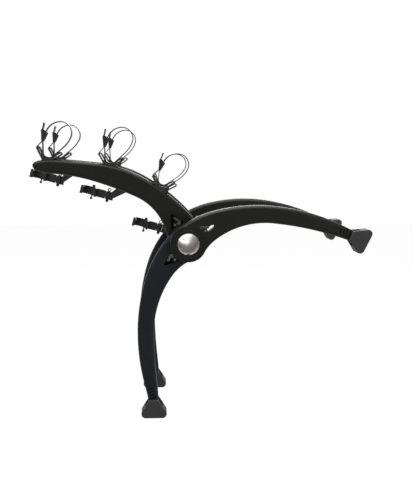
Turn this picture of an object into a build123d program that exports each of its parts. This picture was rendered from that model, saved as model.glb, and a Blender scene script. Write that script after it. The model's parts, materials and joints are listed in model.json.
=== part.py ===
from build123d import *
from math import acos, atan2, cos, degrees, pi, radians, sin
import os

# Trunk mounted rack for three bikes: two arched arms and four arched legs on one central tube.
# Frame: X points from the bikes towards the vehicle, Z up, and Y along the central tube.
# The origin is the middle of the tube. "right" is the side at -Y and "left" the side at +Y.
# Outlines are drawn in the XZ plane and given their width along Y.

os.makedirs("parts", exist_ok=True)

# Clearances
running_gap = 0.08      # radial, between a turning piece and its shaft
seat_gap = 0.2          # between pieces of one body that lie against each other
moving_gap = 0.5        # between pieces that pass each other when a joint moves
overrun = 2.0           # how far a cutting shape reaches past what it cuts

# Central tube and its collars
tube_outer_d = 63.5
tube_bore_d = 60.0
stack_space = 220.0     # clear length of tube between the two stacks of hub rings
tooth_tip_r = 40.0
tooth_depth = 2.0
tooth_count = 24
tooth_gap_share = 0.52  # share of the pitch that the gap between two teeth takes
collar_wall_gap = 0.08
key_width = 8.0
key_length = 14.0
key_depth = 1.7         # how far a collar's key reaches into the tube's slot

# Hub rings
hub_width = 36.0
hub_gap = 1.0
hub_outer_r = 52.0
hub_edge_r = 2.0
end_ring_sunk = 3.0     # how far the end ring lies below the outermost hub ring's face

# End rings and inner rings
end_ring_outer_r = 46.0
end_ring_thickness = 5.0
end_ring_bore_r = 30.4
end_ring_lip_r = 36.0
end_ring_lip_height = 1.2
skirt_wall = 2.0
skirt_length = 6.0
bead_r = 38.6
bead_wire_r = 0.9
pocket_circle_r = 42.3
pocket_r = 1.9
pocket_depth = 2.5
pocket_count = 24
inner_ring_outer_r = 46.0
inner_ring_thickness = 9.0
inner_ring_edge_r = 2.5

# Beams, shared by arms and legs
beam_wall = 4.2
beam_edge_r = 10.0
drain_width = 5.0
drain_length = 26.0
neck_slot_width = 2.6
neck_slot_pitch = 9.6
neck_slot_count = 4
neck_slot_slant = 12.0  # degrees from square across the leg
neck_slot_depth = 7.0
neck_solid_length = 62.0  # from the foot's pin back to the end of the hollow

# Windows at the beams' roots and the latches in them
window_base_r = 56.0
window_apex_r = 99.0
window_corner_r = 3.5
latch_pin_circle_r = 61.5
latch_pin_angle = 14.0   # degrees round the hub from the pawl to the pin
latch_pin_r = 3.0
latch_barrel_r = 5.6
latch_bar_depth = 7.0
latch_width = 20.0
latch_inset = 6.2        # lever's middle line from the window's convex wall
pawl_tip_width = 4.4
pawl_root_width = 7.0
pawl_width = 15.0
pawl_slot_front = 5.5
pawl_slot_back = 12.5
pawl_tip_gap = 0.3
latch_travel = 18.0      # degrees
spring_wire_d = 1.0
spring_mean_r = 4.3
spring_pitch = 1.5
spring_turns = 3
spring_space = 6.2

# Feet
foot_width = 58.0
foot_height = 53.5
foot_half_length = 37.0
foot_top_half_length = 12.8
foot_shoulder_height = 15.0
foot_pin_height = 26.8
foot_sole = 10.8
foot_corner_r = 12.5
foot_shoulder_r = 5.0
foot_top_r = 3.0
foot_edge_r = 2.5
foot_pocket_half_length = 25.5
foot_side_gap = 0.8
foot_pin_r = 4.0
foot_pin_seat = 6.5      # how far the pin goes into each cheek
foot_tilts = {"upper_leg": 63.0, "lower_leg": 0.0}  # degrees from standing on the ground

# Upper legs: hub axis to foot pin, and depth at the crown of the arch
upper_leg_reach = 489.5
upper_leg_depth = 49.5
# Lower legs
lower_leg_reach = 488.0
lower_leg_depth = 48.1
# Arms: hub axis to the tip of the nose
arm_reach = 446.0
arm_depth = 58.0

# Cradles on the arms
seat_height = 22.6       # seat's centre above the arm
seat_r = 17.5            # to the middle of the strap that lines the seat
cradle_width = 32.0
cradle_leg_depth = 10.5
cradle_leg_wall = 3.2
left_leg_foot = (-15.5, -20.8)
left_leg_tip = (-29.7, 10.0)
right_leg_foot = (10.1, -20.8)
right_leg_tip = (32.4, -6.2)
pedestal_half_length = 15.0
pedestal_skirt = 9.0

# Straps
strap_thickness = 2.4
strap_width = 20.0
seat_end_angle = 310.0   # where the strap leaves the seat on its way to the loop
strap_rise = 29.6        # from the seat's centre up to the buckle
strap_lead = 37.6        # straight stretch along the right leg
loop_points = ((62.5, 40.0), (31.8, 85.0), (-6.0, 60.0))
loop_end = (-9.9, 52.6)
tie_thickness = 1.8
tie_width = 12.0

# Buckles
buckle_plate = 2.6
buckle_side_gap = 0.3
buckle_plate_outline = ((-20.6, 29.6), (-14.2, 29.6), (-3.2, 52.6), (-7.8, 57.4), (-20.6, 57.4))
buckle_bar_outline = ((-20.6, 29.6), (-14.4, 29.6), (-12.4, 34.2), (-20.6, 34.2))
buckle_pin_place = (-17.4, 46.4)
buckle_pin_r = 1.6
lever_heel_r = 3.6
lever_outline = ((-21.0, 46.4), (-21.6, 60.6), (-19.4, 64.2), (-14.8, 63.6), (-10.0, 60.0), (-13.8, 46.4))
lever_tail_end = (-12.6, 79.6)
lever_tail_root = (-17.2, 62.0)
lever_tail_depth = 3.6
lever_knob_r = 2.5
lever_eye_r = 1.0

# Anti-sway cradles under the left arm, which turn on upright pins
sway_lean = 15.0         # degrees
sway_pin_r = 3.0
sway_pin_low = -17.0
sway_pin_high = 14.0
sway_eye_r = 4.5
sway_eye_wire_r = 1.4
sway_knob_r = 5.0
sway_barrel_r = 8.0
sway_barrel_half = 9.0
sway_height = 26.0
sway_ear_gap = 0.3
sway_bar_depth = 10.0
sway_seat_place = (-62.0, -1.0)
sway_seat_inner_r = 18.8
sway_wall = 7.2
sway_prong_length = 35.0
sway_strap_tail = 1.8
sway_strut_width = 20.0
sway_offset = 8.0        # from the arm's middle plane towards the tube's middle
sway_strut_sink = 14.0
sway_plate = 2.6
sway_hinge_out = 4.5     # from the prong's end to the lever's pin
sway_heel_r = 3.0
sway_lever_depth = 3.5
sway_lever_length = 13.5
sway_lug_width = 9.0
sway_lug_height = 23.5
sway_neck_r = 2.0
sway_grip_r = 4.0
sway_grip_drop = 19.0


def xz(x, z):
    """A point of the side view."""
    return Vector(x, 0, z)


def polar(radius, angle, centre=Vector(0, 0, 0)):
    """A point of the side view, at an angle in degrees from +X towards +Z."""
    return centre + Vector(radius * cos(radians(angle)), 0, radius * sin(radians(angle)))


def heading(angle):
    return polar(1, angle)


def line(start, end):
    return Edge.make_line(start, end)


def arc_through(start, middle, end):
    return Edge.make_three_point_arc(start, middle, end)


def arc_chain(start, direction, points):
    """Arcs that run on smoothly from start through each point in turn."""
    arcs = []
    for point in points:
        arc = Edge.make_tangent_arc(start, direction, point)
        arcs.append(arc)
        start = point
        direction = arc % 1
    return arcs


def outline(edges):
    """A face of the side view from its boundary edges."""
    return Face(Wire(edges))


def polygon(points):
    return outline([line(a, b) for a, b in zip(points, points[1:] + points[:1])])


def slab(face, width, y=0.0):
    """A face of the side view given its width along Y, with its middle at y."""
    return Pos(0, y, 0) * extrude(face, amount=width / 2, dir=(0, 1, 0), both=True)


def rod(radius, y_low, y_high, centre=Vector(0, 0, 0)):
    """A cylinder along Y."""
    bar = Cylinder(radius, y_high - y_low, align=(Align.CENTER, Align.CENTER, Align.MIN))
    return Pos(centre.X, y_low, centre.Z) * (Rot(-90, 0, 0) * bar)


def ring(outer_r, bore_r, y_low, y_high):
    return rod(outer_r, y_low, y_high) - rod(bore_r, y_low - overrun, y_high + overrun)


def rim_edges(solid, arcs, width):
    """The solid's edges on its two side faces that follow the given outline arcs."""
    found = []
    for side in (-width / 2, width / 2):
        rim = solid.edges().filter_by_position(Axis.Y, side, side)
        for arc in arcs:
            middle = arc @ 0.5 + Vector(0, side, 0)
            found.append(min(rim, key=lambda edge: (edge @ 0.5 - middle).length))
    return found


# Where each stack of hub rings lies along Y, counted from the middle of the tube
arm_y = stack_space / 2 + hub_width / 2
lower_leg_y = arm_y + hub_width + hub_gap
upper_leg_y = lower_leg_y + hub_width + hub_gap
stack_end = upper_leg_y + hub_width / 2
tube_end = stack_end - end_ring_sunk
hub_bore_r = tooth_tip_r + running_gap
collar_start = stack_space / 2 - moving_gap

# Places along the arm as shares of its reach. A cradle's station is x and the seat's turn in
# degrees. An anti-sway unit has its pin's x and z, and the strut's two ends on the arm's edge.
cradle_shares = [(-0.8910, 0.0), (-0.5050, 2.0), (-0.1810, -7.0)]
sway_shares = [
    (-0.9007, 0.3906, -0.830, -0.745),
    (-0.5513, 0.2783, -0.450, -0.360),
    (-0.1852, 0.0446, -0.150, -0.120),
]

# Arch shapes. A station is a place along the beam's middle line: x and z as shares of the reach,
# the direction of the convex side in degrees, and the depth there as a share of the beam's depth.
# hand is +1 where the way from the crown back to the hub is 90 degrees on from the convex side.
# Angles round the hub are in degrees. latch is the pawl's, on a gap between two teeth.
ARCHES = {
    "upper_leg": dict(
        hand=1,
        reach=upper_leg_reach,
        depth=upper_leg_depth,
        crown_shares=(0.5015, 0.1675, 84.0, 1.0),
        hubward_shares=[(0.1573, 0.1083, 92.8, 1.657)],
        outward_shares=[(0.8917, 0.0703, 68.7, 0.72), (1.0, 0.0245, 65.5, 0.56)],
        nose_share=0.0,
        hub_angles=(132.0, -33.0),
        latch=52.5,
        window_convex=64.0,
        window_concave=30.5,
        window_apex=34.0,
        lever_shares=(0.2, 0.54),
        cavity_start_share=0.23,
    ),
    "lower_leg": dict(
        hand=-1,
        reach=lower_leg_reach,
        depth=lower_leg_depth,
        crown_shares=(-0.2534, -0.5430, 180.0, 1.0),
        hubward_shares=[(-0.1711, -0.1988, 180.0, 1.56)],
        outward_shares=[(-0.2223, -0.8678, 193.7, 0.75), (-0.2070, -1.0, 191.0, 0.58)],
        nose_share=0.0,
        hub_angles=(140.0, -75.0),
        latch=217.5,
        window_convex=205.0,
        window_concave=246.0,
        window_apex=223.0,
        lever_shares=(0.2, 0.54),
        cavity_start_share=0.23,
    ),
    "arm": dict(
        hand=-1,
        reach=arm_reach,
        depth=arm_depth,
        crown_shares=(-0.8473, 0.4888, 85.3, 0.728),
        hubward_shares=[
            (-0.5919, 0.4529, 77.0, 0.922),
            (-0.3049, 0.3520, 57.4, 1.024),
            (-0.0830, 0.1502, 45.0, 1.414),
        ],
        outward_shares=[(-0.9529, 0.4955, 82.9, 0.555)],
        nose_share=-1.0,
        hub_angles=(40.0, 195.0),
        latch=112.5,
        window_convex=97.0,
        window_concave=149.5,
        window_apex=120.5,
        lever_shares=(0.3, 0.62),
        cavity_start_share=0.25,
    ),
}


def station_edge(arch, shares, side, inset):
    """The point of the convex (side +1) or concave (side -1) edge at one station."""
    x_share, z_share, normal, depth_share = shares
    middle = xz(x_share * arch["reach"], z_share * arch["reach"])
    return middle + heading(normal) * (side * (depth_share * arch["depth"] / 2 - inset))


def arch_edges(arch, side, inset=0.0):
    """The arcs of one edge of a beam: from the crown to the hub, and from the crown outwards."""
    crown = station_edge(arch, arch["crown_shares"], side, inset)
    to_hub = heading(arch["crown_shares"][2] + arch["hand"] * 90)
    hub_angle = arch["hub_angles"][0 if side > 0 else 1]
    hubward = [station_edge(arch, s, side, inset) for s in arch["hubward_shares"]]
    hubward.append(polar(hub_outer_r - inset, hub_angle))
    outward = [station_edge(arch, s, side, inset) for s in arch["outward_shares"]]
    return arc_chain(crown, to_hub, hubward), arc_chain(crown, to_hub * -1, outward)


def outward_direction(arch):
    """The way the beam points at its outer end."""
    return heading(arch["outward_shares"][-1][2] - arch["hand"] * 90)


def arch_slab(arch, width, inset, edge_r):
    """The beam's body without its hub ring, with all its long edges rounded."""
    convex_in, convex_out = arch_edges(arch, 1, inset)
    concave_in, concave_out = arch_edges(arch, -1, inset)
    high = convex_out[-1] @ 1
    low = concave_out[-1] @ 1
    middle = (high + low) * 0.5
    nose_length = (high - low).length / 2
    if arch["nose_share"]:
        nose_length = abs(arch["nose_share"] * arch["reach"] - middle.X) - inset
    nose_tip = middle + outward_direction(arch) * nose_length
    nose = Edge.make_spline(
        [high, nose_tip, low], tangents=[convex_out[-1] % 1, (concave_out[-1] % 1) * -1]
    )
    rim = convex_in + convex_out + [nose] + concave_out + concave_in
    roots = [line(convex_in[-1] @ 1, xz(0, 0)), line(xz(0, 0), concave_in[-1] @ 1)]
    body = slab(outline(rim + roots), width)
    return fillet(rim_edges(body, rim, width), edge_r)


def disc(centre, radius):
    """A round face in the side view."""
    return Face(Wire([Edge.make_circle(radius, Plane(centre, z_dir=(0, -1, 0)))]))


def bar_face(start, end, depth):
    """A straight bar in the side view, with square ends."""
    across = (end - start).normalized().rotate(Axis.Y, 90) * (depth / 2)
    return polygon([start + across, end + across, end - across, start - across])


def latch_places(arch):
    """Where the latch's pin, knee and lever end lie, and the corners of its window."""
    hand = arch["hand"]
    pin = polar(latch_pin_circle_r, arch["latch"] - hand * latch_pin_angle)
    convex = polar(window_base_r, arch["window_convex"])
    apex = polar(window_apex_r, arch["window_apex"])
    concave = polar(window_base_r, arch["window_concave"])
    wall = (apex - convex).normalized()
    inwards = wall.rotate(Axis.Y, hand * 90)
    knee, end = [
        convex + (apex - convex) * share + inwards * latch_inset for share in arch["lever_shares"]
    ]
    root = polar(hub_outer_r + latch_bar_depth, arch["latch"])
    corners_of_window = dict(convex=convex, apex=apex, concave=concave)
    return dict(pin=pin, root=root, knee=knee, end=end, **corners_of_window)


def across_hub(angle, radius, shift):
    """A point at a radius from the hub's axis, shifted square to that radius."""
    return polar(radius, angle) + heading(angle + 90) * shift


def window_face(arch, base_r):
    """The window's rounded triangle, with its base on a circle round the hub."""
    places = latch_places(arch)
    scale = base_r / window_base_r
    convex = places["convex"] * scale
    concave = places["concave"] * scale
    middle = ((convex + concave) * 0.5).normalized() * base_r
    sides = [arc_through(convex, middle, concave)]
    sides += [line(concave, places["apex"]), line(places["apex"], convex)]
    face = outline(sides)
    return face.fillet_2d(window_corner_r, face.vertices())


def window_cut(arch):
    """What is cut out of a beam for its window, latch and pawl. An ear stays each side of the latch."""
    places = latch_places(arch)
    cut_width = hub_width + 2 * overrun
    through = slab(window_face(arch, window_base_r), cut_width)
    ear = disc(places["pin"], latch_barrel_r + hub_edge_r / 2)
    ear_root = bar_face(places["pin"], places["pin"].normalized() * hub_outer_r, 2 * latch_barrel_r)
    through = through - slab(ear, cut_width) - slab(ear_root, cut_width)
    pocket = slab(window_face(arch, hub_outer_r + moving_gap), latch_width + 2 * moving_gap)
    hand = arch["hand"]
    slot = polygon([
        across_hub(arch["latch"], hub_bore_r - overrun, -hand * pawl_slot_front),
        across_hub(arch["latch"], window_base_r + 2 * overrun, -hand * pawl_slot_front),
        across_hub(arch["latch"], window_base_r + 2 * overrun, hand * pawl_slot_back),
        across_hub(arch["latch"], hub_bore_r - overrun, hand * pawl_slot_back),
    ])
    pin_hole = rod(latch_pin_r + running_gap / 2, -cut_width / 2, cut_width / 2, places["pin"])
    cut = through + pocket + slab(slot, pawl_width + 2 * moving_gap) + pin_hole
    swung = [
        places["pin"] + (point - places["pin"]).rotate(Axis.Y, hand * latch_travel)
        for point in (places["root"], places["knee"])
    ]
    swung_r = latch_bar_depth / 2 + 2 * moving_gap
    for shape in [bar_face(*swung, 2 * swung_r)] + [disc(point, swung_r) for point in swung]:
        cut = cut + slab(shape, latch_width + 2 * moving_gap)
    return cut


def neck_slots(arch):
    """Narrow slanted grooves in both sides of a leg, just short of its foot."""
    foot_pin = station_middle(arch, -1)
    backwards = outward_direction(arch) * -1
    cuts = []
    for count in range(neck_slot_count):
        place = foot_pin + backwards * (foot_pin_height + neck_slot_pitch * (count + 0.4))
        length = arch["depth"] * (0.56 - 0.05 * count)
        along = backwards.rotate(Axis.Y, 90 - neck_slot_slant) * (length / 2)
        groove = bar_face(place - along, place + along, neck_slot_width)
        for side in (-1, 1):
            cuts.append(slab(groove, 2 * neck_slot_depth, side * hub_width / 2))
    return cuts


def station_middle(arch, index):
    x_share, z_share = arch["outward_shares"][index][:2]
    return xz(x_share * arch["reach"], z_share * arch["reach"])


def beam(arch, is_leg, is_outermost):
    """A hollow beam with its hub ring, centred on y = 0."""
    body = arch_slab(arch, hub_width, 0.0, beam_edge_r)
    hub = rod(hub_outer_r, -hub_width / 2, hub_width / 2)
    hub = fillet(hub.edges().filter_by(GeomType.CIRCLE), hub_edge_r)
    body = body + hub
    inner_r = beam_edge_r - beam_wall
    cavity = arch_slab(arch, hub_width - 2 * beam_wall, beam_wall, inner_r)
    start_r = arch["cavity_start_share"] * arch["reach"]
    cavity = cavity - rod(start_r, -hub_width, hub_width)
    if is_leg:
        pin_place = station_middle(arch, -1)
        cavity = cavity - rod(neck_solid_length, -hub_width, hub_width, pin_place)
        hole_r = foot_pin_r + running_gap / 2
        body = body - rod(hole_r, -hub_width, hub_width, pin_place)
    body = body - cavity - window_cut(arch) - rod(hub_bore_r, -hub_width, hub_width)
    if is_leg:
        for slot in neck_slots(arch):
            body = body - slot
    else:
        low = arch_edges(arch, -1)[0][0] @ 0.5
        drain = Box(drain_length, drain_width, 2 * (beam_wall + overrun))
        body = body - Pos(low.X, 0, low.Z) * drain
    if is_outermost:
        recess_r = end_ring_outer_r + moving_gap
        outer_y = hub_width / 2
        recess_depth = end_ring_sunk + moving_gap
        body = body - rod(recess_r, outer_y - recess_depth, outer_y + overrun)
    return body



def shape_sum(shapes):
    """One shape from several."""
    total = shapes[0]
    for shape in shapes[1:]:
        total = total + shape
    return total


def main_tube():
    tube = ring(tube_outer_d / 2, tube_bore_d / 2, -tube_end, tube_end)
    slot_length = key_length + skirt_length + 3 * seat_gap
    slot = Box(key_width + 2 * seat_gap, 2 * slot_length, tube_outer_d + 2 * overrun)
    for end in (-tube_end, tube_end):
        tube = tube - Pos(0, end, 0) * slot
    return tube


def index_collar():
    """Toothed sleeve on the left end of the tube, held from turning by two keys."""
    bore_r = tube_outer_d / 2 + collar_wall_gap
    collar = ring(tooth_tip_r, bore_r, collar_start, tube_end)
    gap_width = tooth_gap_share * 2 * pi * tooth_tip_r / tooth_count
    gap = Box(2 * tooth_depth, 2 * stack_end, gap_width)
    for count in range(tooth_count):
        collar = collar - Rot(0, count * 360 / tooth_count, 0) * Pos(tooth_tip_r, 0, 0) * gap
    rebate_r = bore_r + skirt_wall + 2 * seat_gap
    collar = collar - rod(rebate_r, tube_end - skirt_length - seat_gap, tube_end + overrun)
    key = Box(key_width, key_length, key_depth + skirt_wall)
    low = tube_end - skirt_length - 2 * seat_gap - key_length / 2
    height = tube_outer_d / 2 - key_depth + (key_depth + skirt_wall) / 2
    for side in (-1, 1):
        collar = collar + Pos(0, low, side * height) * key
    return collar


def end_ring():
    """Cover ring on the left end of the stack, with a skirt in the collar's rebate."""
    face_y = tube_end + end_ring_thickness
    cover = ring(end_ring_outer_r, end_ring_bore_r, tube_end, face_y)
    lip = ring(end_ring_lip_r, end_ring_bore_r, face_y, face_y + end_ring_lip_height)
    skirt_r = tube_outer_d / 2 + collar_wall_gap + seat_gap
    skirt = ring(skirt_r + skirt_wall, skirt_r, tube_end - skirt_length, tube_end + seat_gap)
    bead = Pos(0, face_y, 0) * (Rot(90, 0, 0) * Torus(bead_r, bead_wire_r))
    cover = cover + lip + skirt + bead
    for count in range(pocket_count):
        centre = polar(pocket_circle_r, (count + 0.5) * 360 / pocket_count)
        cover = cover - rod(pocket_r, face_y - pocket_depth, face_y + overrun, centre)
    return cover


def inner_ring():
    """Stop ring on the tube at the inner end of the left stack."""
    bore_r = tube_outer_d / 2 + collar_wall_gap
    stop = ring(inner_ring_outer_r, bore_r, collar_start - inner_ring_thickness, collar_start)
    rim = stop.edges().filter_by(GeomType.CIRCLE).sort_by(SortBy.RADIUS)[-2:]
    return fillet(rim, inner_ring_edge_r)


def latch(arch):
    """Latch lever round its pin at rest: its pawl points at a gap of the collar."""
    places = latch_places(arch)
    root = places["root"]
    route = [places["pin"], root, places["knee"], places["end"]]
    width = latch_width
    pieces = [slab(disc(places["pin"], latch_barrel_r), width)]
    for start, end in zip(route, route[1:]):
        pieces.append(slab(bar_face(start, end, latch_bar_depth), width))
        pieces.append(slab(disc(end, latch_bar_depth / 2), width))
    tip = tooth_tip_r + pawl_tip_gap
    pawl = polygon([
        across_hub(arch["latch"], tip, -pawl_tip_width / 2),
        across_hub(arch["latch"], root.length, -pawl_root_width / 2),
        across_hub(arch["latch"], root.length, pawl_root_width / 2),
        across_hub(arch["latch"], tip, pawl_tip_width / 2),
    ])
    body = shape_sum(pieces + [slab(pawl, pawl_width)])
    body = body - rod(latch_pin_r + running_gap, -hub_width, hub_width, places["pin"])
    spring_low = latch_width / 2 - spring_space
    spring_r = spring_mean_r + spring_wire_d + moving_gap
    return body - rod(spring_r, spring_low, latch_width, places["pin"])


def latch_pin(arch):
    end = hub_width / 2 - seat_gap
    return rod(latch_pin_r, -end, end, latch_places(arch)["pin"])


def spring_point(turns):
    """A point of the coil's middle line, counted in turns from its inner end."""
    angle = 360 * turns
    start = latch_width / 2 - spring_space + spring_wire_d / 2 + seat_gap
    return polar(spring_mean_r, angle) + Vector(0, start + spring_pitch * turns, 0)


def latch_spring(arch):
    """Coil round the latch pin, as one tube on quarter turn arcs."""
    quarters = 4 * spring_turns
    arcs = []
    for count in range(quarters):
        start, middle, end = [spring_point((count + part) / 4) for part in (0, 0.5, 1)]
        arcs.append(arc_through(start, middle, end))
    path = Wire(arcs)
    section = Plane(path @ 0, z_dir=path % 0) * Circle(spring_wire_d / 2)
    return Pos(*latch_places(arch)["pin"]) * sweep(section, path)


def spring_self_gap():
    """The least gap from one turn of the coil to the next, measured on points."""
    steps = [count / 48 for count in range(48 * spring_turns + 1)]
    pairs = [(a, b) for a in steps for b in steps if b - a > 0.5]
    least = min((spring_point(a) - spring_point(b)).length for a, b in pairs)
    return least - spring_wire_d


def foot_pins(arch):
    end = hub_width / 2 + foot_side_gap + foot_pin_seat
    return rod(foot_pin_r, -end, end, station_middle(arch, -1))


def foot(arch, tilt):
    """Rubber foot that stands on its sole, turned by tilt degrees about its pin."""
    low = foot_pin_height - foot_height
    shoulder = low + foot_shoulder_height
    face = polygon([
        xz(-foot_top_half_length, foot_pin_height),
        xz(foot_top_half_length, foot_pin_height),
        xz(foot_half_length, shoulder),
        xz(foot_half_length, low),
        xz(-foot_half_length, low),
        xz(-foot_half_length, shoulder),
    ])
    corners = face.vertices().group_by(Axis.Z)
    for group, radius in zip(corners, (foot_corner_r, foot_shoulder_r, foot_top_r)):
        spots = [Vector(*corner) for corner in group]
        found = [v for v in face.vertices() for s in spots if (Vector(*v) - s).length < seat_gap]
        face = face.fillet_2d(radius, found)
    body = slab(face, foot_width)
    rims = [edge for side in (0, -1) for edge in body.edges().group_by(Axis.Y)[side]]
    body = fillet(rims, foot_edge_r)
    floor = low + foot_sole
    half_gap = hub_width / 2 + foot_side_gap
    length = 2 * foot_pocket_half_length
    pocket = Box(length, 2 * half_gap, foot_height, align=(Align.CENTER, Align.CENTER, Align.MIN))
    body = body - Pos(0, 0, floor) * pocket
    end = half_gap + foot_pin_seat + seat_gap
    body = body - rod(foot_pin_r + running_gap, -end, end)
    return Pos(*station_middle(arch, -1)) * (Rot(0, -tilt, 0) * body)



def edge_place(edges, x):
    """The point on a beam's edge at the given x, and the direction along the edge there."""
    for edge in edges:
        low, high = 0.0, 1.0
        if ((edge @ low).X - x) * ((edge @ high).X - x) > 0:
            continue
        falling = (edge @ low).X > (edge @ high).X
        for _ in range(40):
            middle = (low + high) / 2
            if ((edge @ middle).X > x) == falling:
                low = middle
            else:
                high = middle
        return edge @ low, edge % low
    raise ValueError("the edge does not reach this place")


def seat_frames(arch):
    """Where each cradle's seat is on the arm: its centre, and its turn in degrees."""
    inwards, outwards = arch_edges(arch, 1)
    frames = []
    for share, turn in cradle_shares:
        point, along = edge_place(inwards + outwards, share * arch["reach"])
        normal = along.rotate(Axis.Y, 90)
        if normal.Z < 0:
            normal = normal * -1
        centre = point + normal * seat_height
        frames.append(Pos(*centre) * Rot(0, -turn, 0))
    return frames


def corners(outline_points):
    return [xz(*point) for point in outline_points]


def strap_path():
    """The middle line of the strap: down into the seat, round it, and up in a free loop."""
    start = xz(-seat_r, strap_rise)
    seat_start = xz(-seat_r, 0)
    seat_end = polar(seat_r, seat_end_angle)
    lead_end = seat_end + heading(seat_end_angle - 270) * strap_lead
    seat = arc_through(seat_start, polar(seat_r, (180 + seat_end_angle) / 2), seat_end)
    loop = arc_chain(lead_end, heading(seat_end_angle - 270), corners(loop_points + (loop_end,)))
    return Wire([line(start, seat_start), seat, line(seat_end, lead_end)] + loop)


def tie_path():
    """The middle line of the short band from the buckle round the tip of the left leg."""
    radius = cradle_leg_depth / 2 + seat_gap + tie_thickness / 2
    centre = xz(*left_leg_tip)
    corner_x, corner_z = buckle_bar_outline[0]
    start = xz(corner_x, corner_z - tie_thickness / 2)
    away = start - centre
    angle = degrees(atan2(away.Z, away.X) + acos(radius / away.length))
    ends = [polar(radius, angle + turn, centre) for turn in (0, 33, 66)]
    return Wire([line(start, ends[0]), arc_through(*ends)])


def ribbon(path, thickness, width):
    """A flat band that follows a path in the side view."""
    start = path @ 0
    section = Plane(start, x_dir=(0, 1, 0), z_dir=path % 0) * Rectangle(width, thickness)
    return sweep(section, path)


def strap():
    band = ribbon(strap_path(), strap_thickness, strap_width)
    return [band, ribbon(tie_path(), tie_thickness, tie_width)]


def cradle():
    """Seat with two looped legs, around a seat centre at the origin."""
    half = cradle_leg_depth / 2
    left_foot, left_tip, right_foot, right_tip = corners(
        [left_leg_foot, left_leg_tip, right_leg_foot, right_leg_tip]
    )
    low = -seat_height - pedestal_skirt
    top = left_foot.Z + pedestal_skirt
    pedestal = polygon([
        xz(left_foot.X - half, top),
        xz(right_foot.X + half, top),
        xz(right_foot.X + half, low),
        xz(left_foot.X - half, low),
    ])
    body = slab(pedestal, cradle_width)
    for start, end in ((left_foot, left_tip), (right_foot, right_tip)):
        body = body + slab(bar_face(start, end, cradle_leg_depth), cradle_width)
        body = body + slab(disc(end, half), cradle_width)
    cut_width = cradle_width + 2 * overrun
    seat_cut = seat_r + strap_thickness / 2 + seat_gap
    body = body - slab(disc(xz(0, 0), seat_cut), cut_width)
    lead = heading(seat_end_angle - 270) * strap_lead
    seat_end = polar(seat_r, seat_end_angle)
    body = body - slab(bar_face(seat_end, seat_end + lead, strap_thickness + 2 * seat_gap), cut_width)
    slot_r = half - cradle_leg_wall
    for start, end, share in ((left_foot, left_tip, 0.5), (right_foot, right_tip, 0.35)):
        inner = start + (end - start) * share
        body = body - slab(bar_face(inner, end, 2 * slot_r), cut_width)
        for place in (inner, end):
            body = body - slab(disc(place, slot_r), cut_width)
    return body


def buckle_frame():
    """Two side plates with a crossbar between them and the lever's pin through them."""
    inner = strap_width / 2 + 2 * buckle_side_gap
    outer = inner + buckle_plate
    plate = slab(polygon(corners(buckle_plate_outline)), 2 * outer)
    plate = plate - slab(polygon(corners(buckle_plate_outline)), 2 * inner)
    crossbar = slab(polygon(corners(buckle_bar_outline)), 2 * outer)
    pin = rod(buckle_pin_r, -outer, outer, xz(*buckle_pin_place))
    return plate + crossbar + pin


def buckle_lever():
    """Lever on the buckle's pin, closed, with a long tail and an eye in its end."""
    pin = xz(*buckle_pin_place)
    end = xz(*lever_tail_end)
    body = slab(polygon(corners(lever_outline)), strap_width)
    body = body + slab(disc(pin, lever_heel_r), strap_width)
    body = body + slab(bar_face(xz(*lever_tail_root), end, lever_tail_depth), strap_width)
    body = body + slab(disc(end, lever_knob_r), strap_width)
    cut_width = strap_width + 2 * overrun
    body = body - rod(buckle_pin_r + running_gap, -cut_width, cut_width, pin)
    return body - rod(lever_eye_r, -cut_width, cut_width, end)


def on_arm(frame, shape):
    """A cradle's piece at its place on the arm."""
    return frame * shape


def arm_solid():
    """The arm's outer shape, which cuts what is seated on it."""
    hub = rod(hub_outer_r, -hub_width / 2, hub_width / 2)
    return arch_slab(ARCHES["arm"], hub_width, 0.0, beam_edge_r) + hub


def cradles(arch):
    body = arm_solid()
    return [on_arm(frame, cradle()) - body for frame in seat_frames(arch)]


def straps(arch):
    return [on_arm(frame, piece) for frame in seat_frames(arch) for piece in strap()]


def buckle_frames(arch):
    return [on_arm(frame, buckle_frame()) for frame in seat_frames(arch)]


# The anti-sway units are made round their pin: local x to the right, y along Y, z up the pin.


def upright(radius, low, high, x=0.0, y=0.0):
    """A cylinder along the unit's pin."""
    bar = Cylinder(radius, high - low, align=(Align.CENTER, Align.CENTER, Align.MIN))
    return Pos(x, y, low) * bar


def block(x_low, x_high, y_low, y_high, z_low, z_high):
    size = (x_high - x_low, y_high - y_low, z_high - z_low)
    middle = ((x_low + x_high) / 2, (y_low + y_high) / 2, (z_low + z_high) / 2)
    return Pos(*middle) * Box(*size)


def sway_frames():
    """Where each anti-sway unit's pin stands under the left arm."""
    y = arm_y - sway_offset
    reach = ARCHES["arm"]["reach"]
    return [Pos(x * reach, y, z * reach) * Rot(0, sway_lean, 0) for x, z, _, _ in sway_shares]


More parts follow.
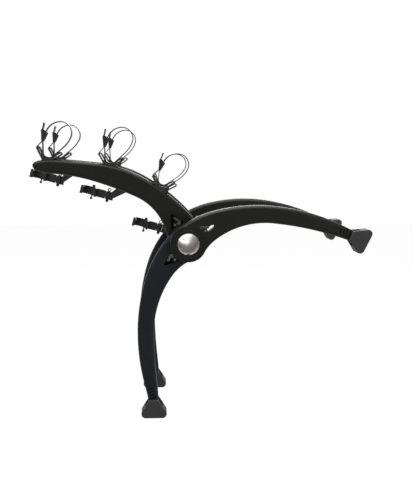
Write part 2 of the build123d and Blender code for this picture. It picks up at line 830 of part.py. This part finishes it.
def sway_bracket(index):
    """Two ears with the pin, on a strut from the underside of the arm."""
    frame = sway_frames()[index]
    half = sway_height / 2
    low_ear = sway_barrel_half + sway_ear_gap
    reach = sway_barrel_r + moving_gap
    ear = upright(sway_barrel_r, -half, half) + block(
        0, 2 * reach, -sway_barrel_r, sway_barrel_r, -half, half
    )
    room = upright(sway_barrel_r + 2 * moving_gap, -low_ear, low_ear)
    room = room + block(-reach, reach, -half, half, -low_ear, low_ear)
    ear = frame * (ear - room)
    arch = ARCHES["arm"]
    inwards, outwards = arch_edges(arch, -1)
    roots = []
    for share in sway_shares[index][2:]:
        point, along = edge_place(inwards + outwards, share * arch["reach"])
        into = along.rotate(Axis.Y, 90)
        if into.Z < 0:
            into = into * -1
        roots.append(point + into * sway_strut_sink)
    near = [frame * Pos(reach, 0, side * half) for side in (1, -1)]
    near = [xz(place.position.X, place.position.Z) for place in near]
    strut = slab(polygon([near[0]] + roots + [near[1]]), sway_strut_width, arm_y - sway_offset)
    strut = strut - Pos(0, arm_y, 0) * arm_solid()
    pin = upright(sway_pin_r, sway_pin_low, sway_pin_high)
    eye_height = sway_pin_high + sway_eye_r
    eye = Pos(0, 0, eye_height) * (Rot(90, 0, 0) * Torus(sway_eye_r, sway_eye_wire_r))
    knob = Pos(0, 0, sway_pin_low) * Sphere(sway_knob_r)
    return ear + strut + frame * (pin + eye + knob)


def sway_cradle(index):
    """Cradle that turns on the unit's pin, with its mouth towards the tube's middle."""
    half = sway_height / 2
    seat_x, seat_y = sway_seat_place
    outer_r = sway_seat_inner_r + sway_wall
    low_bar = sway_bar_depth / 2
    body = upright(sway_barrel_r, -sway_barrel_half, sway_barrel_half)
    neck_end = -sway_barrel_r - sway_wall
    body = body + block(neck_end, 0, -low_bar, low_bar, -sway_barrel_half, sway_barrel_half)
    bar_start = -sway_barrel_r - 3 * moving_gap
    body = body + block(seat_x, bar_start, -low_bar, low_bar, -half, half)
    body = body + upright(outer_r, -half, half, seat_x, seat_y)
    end_y = seat_y - sway_prong_length
    body = body + block(seat_x - outer_r, seat_x + outer_r, end_y, seat_y, -half, half)
    room = upright(sway_seat_inner_r, -half - overrun, half + overrun, seat_x, seat_y)
    mouth = block(
        seat_x - sway_seat_inner_r,
        seat_x + sway_seat_inner_r,
        end_y - overrun,
        seat_y,
        -half - overrun,
        half + overrun,
    )
    pin_room = upright(sway_pin_r + running_gap, -half - overrun, half + overrun)
    return sway_frames()[index] * (body - room - mouth - pin_room)


def sway_hinge():
    """Local x and y of the pin of an anti-sway buckle."""
    seat_x, seat_y = sway_seat_place
    x = seat_x + sway_seat_inner_r + sway_wall - sway_heel_r
    return x, seat_y - sway_prong_length - sway_hinge_out


def sway_strap(index):
    """The strap that lines the cradle, and the buckle's plates and pin on the prong's end."""
    seat_x, seat_y = sway_seat_place
    end_y = seat_y - sway_prong_length
    radius = sway_seat_inner_r - strap_thickness / 2
    left, right = [Vector(seat_x + side * radius, seat_y, 0) for side in (-1, 1)]
    down = Vector(0, end_y - seat_y, 0)
    tail = Vector(0, -sway_strap_tail, 0)
    arc = arc_through(left, Vector(seat_x, seat_y + radius, 0), right)
    path = Wire([line(left + down, left), arc, line(right, right + down + tail)])
    section = Plane(path @ 0, x_dir=(0, 0, 1), z_dir=path % 0) * Rectangle(strap_width, strap_thickness)
    band = sweep(section, path)
    x, y = sway_hinge()
    inner = strap_width / 2 + 2 * buckle_side_gap
    outer = inner + sway_plate
    prong_x = seat_x + sway_seat_inner_r
    pieces = [band]
    pin = upright(buckle_pin_r, -outer, outer, x, y)
    for low, high in ((-outer, -inner), (inner, outer)):
        plate = block(prong_x, x + sway_heel_r, y, end_y, low, high)
        pin = pin + plate + upright(sway_heel_r, low, high, x, y)
    pieces.append(pin)
    return [sway_frames()[index] * piece for piece in pieces]


def sway_lever(index):
    """Lever across the prong's end, with a lug above the cradle and a round grip below it."""
    x, y = sway_hinge()
    half = strap_width / 2
    far = x - sway_lever_length
    low_y = y - sway_heel_r
    body = upright(sway_heel_r, -half, half, x, y)
    body = body + block(far, x, low_y, low_y + sway_lever_depth, -half, half)
    lug = block(far, far + sway_lug_width, low_y, low_y + sway_lever_depth, -half, sway_lug_height)
    rounded = lug.edges().filter_by(Axis.Y).group_by(Axis.Z)[-1]
    lug = fillet(rounded, sway_lug_width / 3)
    middle_x = far + sway_lug_width / 2
    middle_y = low_y + sway_lever_depth / 2
    neck = upright(sway_neck_r, -sway_grip_drop, 0, middle_x, middle_y)
    grip = Pos(middle_x, middle_y, -sway_grip_drop) * Sphere(sway_grip_r)
    body = body + lug + neck + grip
    pin_room = upright(buckle_pin_r + running_gap, -half - overrun, half + overrun, x, y)
    return sway_frames()[index] * (body - pin_room)


def place(shapes, y, side):
    """Pieces made on the left half, moved out to y, and mirrored for the right side."""
    shapes = shapes if isinstance(shapes, list) else [shapes]
    moved = [Pos(0, y, 0) * shape for shape in shapes]
    if side < 0:
        moved = [mirror(shape, about=Plane.XZ) for shape in moved]
    return moved


def all_nodes():
    """Every node's solids by name."""
    nodes = {"main_tube": [main_tube()]}
    upper, lower, arm = [ARCHES[name] for name in ("upper_leg", "lower_leg", "arm")]
    legs = dict(upper=(upper, upper_leg_y, "upper_leg"), lower=(lower, lower_leg_y, "lower_leg"))
    for side, word in ((-1, "right"), (1, "left")):
        nodes["index_collar_" + word] = place(index_collar(), 0, side)
        nodes["end_ring_" + word] = place(end_ring(), 0, side)
        nodes["inner_ring_" + word] = place(inner_ring(), 0, side)
        for name, (arch, y, key) in legs.items():
            beam_body = beam(arch, True, name == "upper")
            nodes[f"{name}_leg_{word}"] = place(beam_body, y, side)
            nodes[f"{name}_foot_{word}"] = place(foot(arch, foot_tilts[key]), y, side)
            nodes[f"{name}_latch_{word}"] = place(latch(arch), y, side)
            pins = [latch_pin(arch), foot_pins(arch)]
            nodes[f"{name}_pins_{word}"] = place(pins, y, side)
            nodes[f"{name}_spring_{word}"] = place(latch_spring(arch), y, side)
        nodes["arm_" + word] = place(beam(arm, False, False), arm_y, side)
        nodes["arm_latch_" + word] = place(latch(arm), arm_y, side)
        nodes["arm_latch_pin_" + word] = place(latch_pin(arm), arm_y, side)
        nodes["arm_spring_" + word] = place(latch_spring(arm), arm_y, side)
        nodes["cradles_" + word] = place(cradles(arm), arm_y, side)
        nodes["straps_" + word] = place(straps(arm), arm_y, side)
        nodes["buckle_frames_" + word] = place(buckle_frames(arm), arm_y, side)
        for number, frame in enumerate(seat_frames(arm), 1):
            lever = place(on_arm(frame, buckle_lever()), arm_y, side)
            nodes[f"buckle_lever_{word}_{number}"] = lever
    for index in range(len(sway_shares)):
        nodes[f"anti_sway_bracket_{index + 1}"] = [sway_bracket(index)]
        nodes[f"anti_sway_cradle_{index + 1}"] = [sway_cradle(index)]
        nodes[f"anti_sway_strap_{index + 1}"] = sway_strap(index)
        nodes[f"anti_sway_lever_{index + 1}"] = [sway_lever(index)]
    return nodes


for name, shapes in all_nodes().items():
    solids = [solid for shape in shapes for solid in shape.solids()]
    export_step(Compound(children=solids), "parts/" + name + ".step")
    print(name, len(solids), "solids")
print("least gap of a latch spring to itself:", round(spring_self_gap(), 2), "mm")
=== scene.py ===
# %% [markdown]
# A trunk mounted rack for three bikes. Two arched arms and four arched legs turn on one tube,
# and every beam is a hollow black moulding. The imported model already holds each solid at its
# real size, so this script gives the pieces their finishes, closes four of the six windows with
# thin dark sheets of painted shade, and lights the rack as a product is lit in a studio.

# %% Load the imported rack
import json
from math import cos, pi, radians, sin

import bmesh
import bpy
from mathutils import Matrix, Vector

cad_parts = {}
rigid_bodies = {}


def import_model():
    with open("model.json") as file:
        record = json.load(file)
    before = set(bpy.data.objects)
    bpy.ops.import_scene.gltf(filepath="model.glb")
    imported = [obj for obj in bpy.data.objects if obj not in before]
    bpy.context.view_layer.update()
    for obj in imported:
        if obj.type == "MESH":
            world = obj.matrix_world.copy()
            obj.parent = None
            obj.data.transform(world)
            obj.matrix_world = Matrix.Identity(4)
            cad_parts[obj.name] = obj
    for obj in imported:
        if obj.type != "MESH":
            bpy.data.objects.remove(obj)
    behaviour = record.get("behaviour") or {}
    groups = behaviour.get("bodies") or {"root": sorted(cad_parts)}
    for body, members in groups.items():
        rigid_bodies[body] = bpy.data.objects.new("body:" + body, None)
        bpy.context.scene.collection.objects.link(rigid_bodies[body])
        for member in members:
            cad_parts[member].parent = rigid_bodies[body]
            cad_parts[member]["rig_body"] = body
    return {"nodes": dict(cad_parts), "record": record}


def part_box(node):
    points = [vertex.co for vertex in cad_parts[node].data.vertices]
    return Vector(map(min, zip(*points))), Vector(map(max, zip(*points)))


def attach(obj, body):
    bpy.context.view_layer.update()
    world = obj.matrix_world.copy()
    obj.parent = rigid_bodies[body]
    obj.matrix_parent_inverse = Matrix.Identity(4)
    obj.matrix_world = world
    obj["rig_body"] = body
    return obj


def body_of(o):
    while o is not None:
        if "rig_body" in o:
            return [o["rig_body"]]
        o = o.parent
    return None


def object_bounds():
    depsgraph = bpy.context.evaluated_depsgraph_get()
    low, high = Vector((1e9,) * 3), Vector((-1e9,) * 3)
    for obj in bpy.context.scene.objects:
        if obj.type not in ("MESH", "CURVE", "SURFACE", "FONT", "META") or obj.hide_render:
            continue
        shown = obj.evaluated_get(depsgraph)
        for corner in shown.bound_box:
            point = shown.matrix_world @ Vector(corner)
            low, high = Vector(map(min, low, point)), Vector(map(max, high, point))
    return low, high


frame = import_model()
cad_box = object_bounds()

MM = 0.001
nodes = frame["nodes"]
record = frame["record"]

# %% [markdown]
# Moulded plastic and rubber are never perfectly even: the mould leaves a fine grain, and hands
# leave slightly smoother and rougher patches. A painted texture would do it, but noise works at
# any distance and needs no picture. Every finish here uses it, so it is one node group with its
# own sizes as inputs. It gives a roughness and a height that change over the surface.

# %% The grain that all finishes share
GRAIN_DEFAULTS = {"Grain Size": 900.0, "Patch Size": 14.0, "Roughness": 0.5, "Spread": 0.08}
PATCH_DETAIL = 5
NOISE_MIDDLE = 0.5


def make_grain_group():
    group = bpy.data.node_groups.new("moulded grain", "ShaderNodeTree")
    sockets = group.interface
    for name, value in GRAIN_DEFAULTS.items():
        socket = sockets.new_socket(name, in_out="INPUT", socket_type="NodeSocketFloat")
        socket.default_value = value
    for name in ("Roughness", "Height", "Patches"):
        sockets.new_socket(name, in_out="OUTPUT", socket_type="NodeSocketFloat")
    inside = group.nodes
    links = group.links
    start = inside.new("NodeGroupInput")
    end = inside.new("NodeGroupOutput")
    place = inside.new("ShaderNodeTexCoord")
    grain = inside.new("ShaderNodeTexNoise")
    patches = inside.new("ShaderNodeTexNoise")
    links.new(place.outputs["Object"], grain.inputs["Vector"])
    links.new(place.outputs["Object"], patches.inputs["Vector"])
    links.new(start.outputs["Grain Size"], grain.inputs["Scale"])
    links.new(start.outputs["Patch Size"], patches.inputs["Scale"])
    patches.inputs["Detail"].default_value = PATCH_DETAIL
    centred = inside.new("ShaderNodeMath")
    centred.operation = "SUBTRACT"
    centred.inputs[1].default_value = NOISE_MIDDLE
    links.new(patches.outputs["Fac"], centred.inputs[0])
    rough = inside.new("ShaderNodeMath")
    rough.operation = "MULTIPLY_ADD"
    links.new(centred.outputs[0], rough.inputs[0])
    links.new(start.outputs["Spread"], rough.inputs[1])
    links.new(start.outputs["Roughness"], rough.inputs[2])
    links.new(rough.outputs[0], end.inputs["Roughness"])
    links.new(grain.outputs["Fac"], end.inputs["Height"])
    links.new(patches.outputs["Fac"], end.inputs["Patches"])
    return group


grain_group = make_grain_group()
print("group:", grain_group.name)

# %% [markdown]
# Each material starts the same way: a Principled shader whose roughness comes from the grain. A
# short helper makes that start, so that the finishes below hold only what is their own.

# %% Start a material with the grain
def grained_material(name, roughness):
    material = bpy.data.materials.new(name)
    material.use_nodes = True
    tree = material.node_tree
    shader = tree.nodes["Principled BSDF"]
    grain = tree.nodes.new("ShaderNodeGroup")
    grain.node_tree = grain_group
    grain.inputs["Roughness"].default_value = roughness
    tree.links.new(grain.outputs["Roughness"], shader.inputs["Roughness"])
    return material, tree, shader, grain


print("grain inputs:", list(GRAIN_DEFAULTS))

# %% [markdown]
# One function makes each moulded finish from that start: the colour drifts a little between two
# tones, the roughness follows the patches, and the surface is bumped by the grain. Values that
# are the same all over stay on the shader's own sockets.

# %% A moulded finish
GRAIN_HEIGHT = 0.2 * MM
PATCH_SPREAD = 0.12


def moulded(name, low, high, roughness, grain_size, bump, specular):
    material, tree, shader, grain = grained_material(name, roughness)
    grain.inputs["Grain Size"].default_value = grain_size
    grain.inputs["Spread"].default_value = PATCH_SPREAD
    tones = tree.nodes.new("ShaderNodeMix")
    tones.data_type = "RGBA"
    tones.inputs["A"].default_value = (*low, 1)
    tones.inputs["B"].default_value = (*high, 1)
    tree.links.new(grain.outputs["Patches"], tones.inputs["Factor"])
    tree.links.new(tones.outputs["Result"], shader.inputs["Base Color"])
    height = tree.nodes.new("ShaderNodeBump")
    height.inputs["Strength"].default_value = bump
    height.inputs["Distance"].default_value = GRAIN_HEIGHT
    tree.links.new(grain.outputs["Height"], height.inputs["Height"])
    tree.links.new(height.outputs["Normal"], shader.inputs["Normal"])
    shader.inputs["Specular IOR Level"].default_value = specular
    return material


print("grain height:", GRAIN_HEIGHT, "m")

# %% [markdown]
# The photograph shows near-black mouldings with soft highlights along their rounded edges. The
# arms and upper legs look neutral to slightly warm, and the lower legs a touch bluer. The latches
# are a lighter olive grey, the feet a dull rubber, and the straps a smooth black one.

# %% The finishes of the mouldings
beam_finish = moulded(
    "beam plastic", low=(0.002, 0.002, 0.0015), high=(0.004, 0.004, 0.0033),
    roughness=0.45, grain_size=900, bump=0.04, specular=0.12,
)
lower_finish = moulded(
    "lower leg plastic", low=(0.0020, 0.0024, 0.0033), high=(0.004, 0.0047, 0.0063),
    roughness=0.45, grain_size=900, bump=0.04, specular=0.12,
)
ring_finish = moulded(
    "ring plastic", low=(0.003, 0.003, 0.003), high=(0.006, 0.006, 0.006),
    roughness=0.36, grain_size=1100, bump=0.04, specular=0.12,
)
latch_finish = moulded(
    "latch plastic", low=(0.050, 0.056, 0.048), high=(0.075, 0.082, 0.072),
    roughness=0.40, grain_size=1000, bump=0.05, specular=0.4,
)
foot_finish = moulded(
    "foot rubber", low=(0.009, 0.009, 0.0095), high=(0.015, 0.015, 0.0155),
    roughness=0.62, grain_size=700, bump=0.12, specular=0.2,
)
cradle_finish = moulded(
    "cradle rubber", low=(0.006, 0.006, 0.006), high=(0.011, 0.011, 0.011),
    roughness=0.5, grain_size=800, bump=0.1, specular=0.15,
)
strap_finish = moulded(
    "strap rubber", low=(0.006, 0.006, 0.007), high=(0.010, 0.010, 0.011),
    roughness=0.4, grain_size=1400, bump=0.04, specular=0.15,
)
buckle_finish = moulded(
    "buckle plastic", low=(0.006, 0.006, 0.006), high=(0.011, 0.011, 0.011),
    roughness=0.36, grain_size=1100, bump=0.04, specular=0.15,
)
print("moulded finishes:", len(bpy.data.materials))

# %% [markdown]
# The tube is aluminium: painted black outside, and bare inside, where it shows light grey through
# the end ring. One piece has both finishes, so the material tells them apart by the distance from
# the tube's axis, which is the object's own Y axis. Brushed and slightly dull, the bare side is
# only half metallic, so it stays light where it has little to reflect.

# %% The tube, painted outside and bare inside
PAINT_SKIN = 1.0 * MM
BARE_COLOUR = (0.74, 0.72, 0.71, 1)
PAINT_COLOUR = (0.014, 0.014, 0.014, 1)
BARE_METALLIC = 0.5
TUBE_ROUGHNESS = 0.45


def tube_material():
    low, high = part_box("main_tube")
    outer_r = (high.x - low.x) / 2
    material, tree, shader, grain = grained_material("tube metal", TUBE_ROUGHNESS)
    place = tree.nodes.new("ShaderNodeTexCoord")
    flat = tree.nodes.new("ShaderNodeVectorMath")
    flat.operation = "MULTIPLY"
    flat.inputs[1].default_value = (1, 0, 1)
    distance = tree.nodes.new("ShaderNodeVectorMath")
    distance.operation = "LENGTH"
    outside = tree.nodes.new("ShaderNodeMath")
    outside.operation = "GREATER_THAN"
    outside.inputs[1].default_value = outer_r - PAINT_SKIN
    tree.links.new(place.outputs["Object"], flat.inputs[0])
    tree.links.new(flat.outputs["Vector"], distance.inputs[0])
    tree.links.new(distance.outputs["Value"], outside.inputs[0])
    colour = tree.nodes.new("ShaderNodeMix")
    colour.data_type = "RGBA"
    colour.inputs["A"].default_value = BARE_COLOUR
    colour.inputs["B"].default_value = PAINT_COLOUR
    tree.links.new(outside.outputs[0], colour.inputs["Factor"])
    tree.links.new(colour.outputs["Result"], shader.inputs["Base Color"])
    bare = tree.nodes.new("ShaderNodeMath")
    bare.operation = "SUBTRACT"
    bare.inputs[0].default_value = 1.0
    tree.links.new(outside.outputs[0], bare.inputs[1])
    metal = tree.nodes.new("ShaderNodeMath")
    metal.operation = "MULTIPLY"
    metal.inputs[1].default_value = BARE_METALLIC
    tree.links.new(bare.outputs[0], metal.inputs[0])
    tree.links.new(metal.outputs[0], shader.inputs["Metallic"])
    return material


tube_finish = tube_material()
print("tube finish:", tube_finish.name)

# %% [markdown]
# Pins and springs are steel, darkened so that they don't shine in the windows. They are small, so
# a metallic shader with a little unevenness in its roughness is enough.

# %% Steel
STEEL_COLOUR = (0.12, 0.12, 0.12, 1)
STEEL_ROUGHNESS = 0.35

steel_finish, _, steel_shader, _ = grained_material("pin steel", STEEL_ROUGHNESS)
steel_shader.inputs["Base Color"].default_value = STEEL_COLOUR
steel_shader.inputs["Metallic"].default_value = 1.0
print("steel finish:", steel_finish.name)

# %% [markdown]
# Each sub-part names a material slot in the record, so the finish of a piece follows from its
# slot. Only the lower legs differ from the other beams, and they are told apart by name.

# %% Give every piece its finish
finish_of_slot = {
    "beam_plastic": beam_finish,
    "hub_plastic": ring_finish,
    "tube_metal": tube_finish,
    "latch_plastic": latch_finish,
    "steel": steel_finish,
    "foot_rubber": foot_finish,
    "cradle_rubber": cradle_finish,
    "strap_rubber": strap_finish,
    "buckle_plastic": buckle_finish,
}


def paint(piece, material):
    piece.data.materials.clear()
    piece.data.materials.append(material)


for entry in record["subparts"]:
    name = entry["node"]
    finish = finish_of_slot[entry["material_slot"]]
    if name.startswith("lower_leg"):
        finish = lower_finish
    paint(nodes[name], finish)
print("painted:", len(record["subparts"]))

# %% [markdown]
# The window at a beam's root is where a thumb presses the latch. On the arms and the lower legs
# it looks dark, so there it is closed by a thin dark sheet in the beam's own finish: painted shade
# that stands in for the shade inside the window. Only the upper legs' windows let light through.
# A sheet is a flat triangle between the window's three corners, made a little larger than the
# window, so three vertices are extruded to its thickness, just inside the beam's inner face.

# %% Painted shade: dark sheets in the windows of the arms and lower legs
WINDOW_BASE_R = 56.0 * MM
WINDOW_APEX_R = 99.0 * MM
SHADE_SHEET_THICKNESS = 2.0 * MM
SHADE_SHEET_INSET = 0.4 * MM
SHADE_SHEET_SPREAD = 1.06
window_angles = {"arm": (97.0, 120.5, 149.5), "lower_leg": (205.0, 223.0, 246.0)}
shade_sheet_finish = {"arm": beam_finish, "lower_leg": lower_finish}


def shade_sheet_corners(angles, height):
    radii = (WINDOW_BASE_R, WINDOW_APEX_R, WINDOW_BASE_R)
    corners = [
        Vector((radius * cos(radians(angle)), height, radius * sin(radians(angle))))
        for radius, angle in zip(radii, angles)
    ]
    centre = sum(corners, Vector()) / len(corners)
    return [centre + (corner - centre) * SHADE_SHEET_SPREAD for corner in corners]


# Painted shade: a dark triangle in the beam's finish fills the window where there is only shade.
def shade_sheet_in_window(beam, angles, material):
    low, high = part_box(beam)
    inwards = 1 if (low.y + high.y) < 0 else -1
    inner_face = high.y if inwards > 0 else low.y
    start = inner_face - inwards * (SHADE_SHEET_INSET + SHADE_SHEET_THICKNESS)
    bm = bmesh.new()
    face = bm.faces.new([bm.verts.new(corner) for corner in shade_sheet_corners(angles, start)])
    grown = bmesh.ops.extrude_face_region(bm, geom=[face], use_keep_orig=True)
    moved = [item for item in grown["geom"] if isinstance(item, bmesh.types.BMVert)]
    bmesh.ops.translate(bm, vec=(0, inwards * SHADE_SHEET_THICKNESS, 0), verts=moved)
    bmesh.ops.recalc_face_normals(bm, faces=bm.faces)
    mesh = bpy.data.meshes.new(beam + "_shade_sheet_in_window")
    bm.to_mesh(mesh)
    bm.free()
    shade_sheet_piece = bpy.data.objects.new(mesh.name, mesh)
    bpy.context.scene.collection.objects.link(shade_sheet_piece)
    mesh.materials.append(material)
    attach(shade_sheet_piece, body_of(nodes[beam])[0])
    return shade_sheet_piece


# One painted shade sheet for each window of the arms and the lower legs.
for kind, angles in window_angles.items():
    for side in ("right", "left"):
        shade_sheet_piece = shade_sheet_in_window(f"{kind}_{side}", angles, shade_sheet_finish[kind])

# %% [markdown]
# A product photograph has a white surround, so the floor and the world behind it are white to the
# camera and to reflections. The object is still lit only by its lamps and a dim world, which keeps
# its colours as they are written. The floor stays an ordinary surface wherever it takes a shadow.

# %% White for the camera and for reflections
def seen_directly(tree):
    path = tree.nodes.new("ShaderNodeLightPath")
    direct = tree.nodes.new("ShaderNodeMath")
    direct.operation = "MAXIMUM"
    tree.links.new(path.outputs["Is Camera Ray"], direct.inputs[0])
    tree.links.new(path.outputs["Is Glossy Ray"], direct.inputs[1])
    return direct


WHITE = (1, 1, 1, 1)
print("surround:", WHITE)

# %% The floor
FLOOR_GAP = 0.5 * MM
FLOOR_SIZE = 14.0
FLOOR_COLOUR = (0.86, 0.86, 0.86, 1)
FLOOR_ROUGHNESS = 0.9
WHITE_SHARE = 0.97
floor_height = cad_box[0].z - FLOOR_GAP


def floor_material():
    material = bpy.data.materials.new("floor white")
    material.use_nodes = True
    tree = material.node_tree
    shader = tree.nodes["Principled BSDF"]
    shader.inputs["Base Color"].default_value = FLOOR_COLOUR
    shader.inputs["Roughness"].default_value = FLOOR_ROUGHNESS
    white = tree.nodes.new("ShaderNodeEmission")
    mix = tree.nodes.new("ShaderNodeMixShader")
    share = tree.nodes.new("ShaderNodeMath")
    share.operation = "MULTIPLY"
    share.inputs[1].default_value = WHITE_SHARE
    tree.links.new(seen_directly(tree).outputs[0], share.inputs[0])
    tree.links.new(share.outputs[0], mix.inputs["Fac"])
    tree.links.new(shader.outputs["BSDF"], mix.inputs[1])
    tree.links.new(white.outputs["Emission"], mix.inputs[2])
    tree.links.new(mix.outputs["Shader"], tree.nodes["Material Output"].inputs["Surface"])
    return material


def make_floor():
    bm = bmesh.new()
    bmesh.ops.create_grid(bm, x_segments=1, y_segments=1, size=FLOOR_SIZE / 2)
    bmesh.ops.translate(bm, vec=(0, 0, floor_height), verts=bm.verts)
    mesh = bpy.data.meshes.new("floor")
    bm.to_mesh(mesh)
    bm.free()
    floor = bpy.data.objects.new("floor", mesh)
    bpy.context.scene.collection.objects.link(floor)
    mesh.materials.append(floor_material())


make_floor()
print("floor at", round(floor_height, 4), "m")

# %% The world
WORLD_LIGHT = 0.3


def make_world():
    world = bpy.data.worlds.new("studio")
    bpy.context.scene.world = world
    world.use_nodes = True
    tree = world.node_tree
    dim = tree.nodes["Background"]
    dim.inputs["Color"].default_value = WHITE
    dim.inputs["Strength"].default_value = WORLD_LIGHT
    white = tree.nodes.new("ShaderNodeBackground")
    white.inputs["Color"].default_value = WHITE
    mix = tree.nodes.new("ShaderNodeMixShader")
    tree.links.new(seen_directly(tree).outputs[0], mix.inputs["Fac"])
    tree.links.new(dim.outputs["Background"], mix.inputs[1])
    tree.links.new(white.outputs["Background"], mix.inputs[2])
    tree.links.new(mix.outputs["Shader"], tree.nodes["World Output"].inputs["Surface"])


make_world()
print("world light:", WORLD_LIGHT)

# %% [markdown]
# Black plastic shows its shape by what it reflects, so the lamps are large panels: a wide one high
# above for the bright lines along the upper edges, a small one in front on the left, a dim one low
# on the right for the undersides, and one behind for the rims. All aim at the rack's middle.

# %% Lamps
# name: place in metres, width and height in metres, power in watts
PANELS = {
    "overhead panel": ((-0.2, -0.5, 2.3), (2.4, 2.6), 220),
    "front panel": ((-1.4, -2.2, 2.0), (1.0, 0.6), 14),
    "low panel": ((1.6, -1.6, -0.1), (1.2, 0.8), 10),
    "back panel": ((0.4, 2.2, 1.2), (2.0, 1.2), 40),
}
middle = (cad_box[0] + cad_box[1]) / 2


def panel(name, place, size, power):
    data = bpy.data.lights.new(name, "AREA")
    data.shape = "RECTANGLE"
    data.size, data.size_y = size
    data.energy = power
    lamp = bpy.data.objects.new(name, data)
    lamp.location = place
    lamp.rotation_euler = (middle - Vector(place)).to_track_quat("-Z", "Y").to_euler()
    bpy.context.scene.collection.objects.link(lamp)


for name, facts in PANELS.items():
    panel(name, *facts)
print("lamps:", len(PANELS))

# %% [markdown]
# The camera's place was found from the photograph: both ends of the tube are seen, so how much
# smaller the far one looks gives the distance, and the rest follows from where they lie. It
# stands 2.6 m away, a little above the rack, and looks slightly down and to the right.

# %% Camera
CAMERA_PLACE = Vector((-79.24, -2565.33, 243.21)) * MM
CAMERA_TURN = radians(3.145)
CAMERA_DOWN = radians(6.31)
CAMERA_LENS = 59.9
CAMERA_SENSOR = 36

camera_data = bpy.data.cameras.new("camera")
camera_data.lens = CAMERA_LENS
camera_data.sensor_width = CAMERA_SENSOR
camera = bpy.data.objects.new("camera", camera_data)
turn = Matrix.Rotation(-CAMERA_TURN, 4, "Z") @ Matrix.Rotation(pi / 2 - CAMERA_DOWN, 4, "X")
camera.matrix_world = Matrix.Translation(CAMERA_PLACE) @ turn
bpy.context.scene.collection.objects.link(camera)
bpy.context.scene.camera = camera
bpy.context.scene.view_settings.view_transform = "Standard"
print("camera lens:", CAMERA_LENS, "mm")
